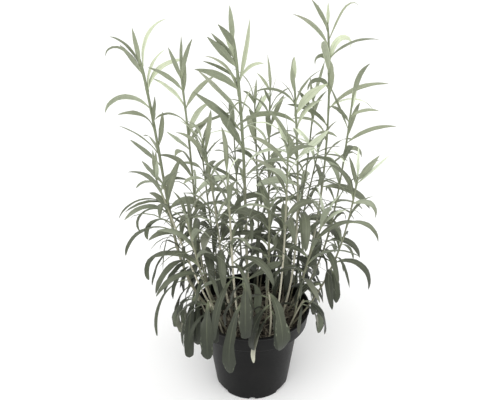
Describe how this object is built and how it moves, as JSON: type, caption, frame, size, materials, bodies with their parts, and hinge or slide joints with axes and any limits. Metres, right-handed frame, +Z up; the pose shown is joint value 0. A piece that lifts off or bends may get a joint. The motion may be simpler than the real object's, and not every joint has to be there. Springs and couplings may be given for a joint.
{
  "type": "potted tarragon plant",
  "caption": "Bushy herb with slender upright stems and narrow arching leaves, growing in soil in a tapered round nursery pot.",
  "frame": {"origin": "middle of the pot's foot, on the surface that the pot stands on", "axes": "+Z up along the pot's axis, -Y towards the front of the plant, +X to the right"},
  "size_m": [0.2672, 0.173, 0.3951],
  "materials": {
    "pot_plastic": "dark satin polypropylene, slightly dusty",
    "potting_soil": "dark crumbly peat with fibres",
    "foliage": "matte grey-green leaves on pale green stems"
  },
  "bodies": {
    "root": {"pot": "pot_plastic", "soil": "potting_soil", "stem_01": "foliage", "stem_02": "foliage", "stem_03": "foliage", "stem_04": "foliage", "stem_05": "foliage", "stem_06": "foliage", "stem_07": "foliage", "stem_08": "foliage", "stem_09": "foliage", "stem_10": "foliage", "stem_11": "foliage", "stem_12": "foliage", "stem_13": "foliage", "stem_14": "foliage", "stem_15": "foliage", "stem_16": "foliage", "stem_17": "foliage", "stem_18": "foliage", "stem_19": "foliage", "stem_20": "foliage", "shoot_01": "foliage", "shoot_02": "foliage", "shoot_03": "foliage", "shoot_04": "foliage", "shoot_05": "foliage", "shoot_06": "foliage", "shoot_07": "foliage", "shoot_08": "foliage", "shoot_09": "foliage", "shoot_10": "foliage"}
  },
  "joints": []
}
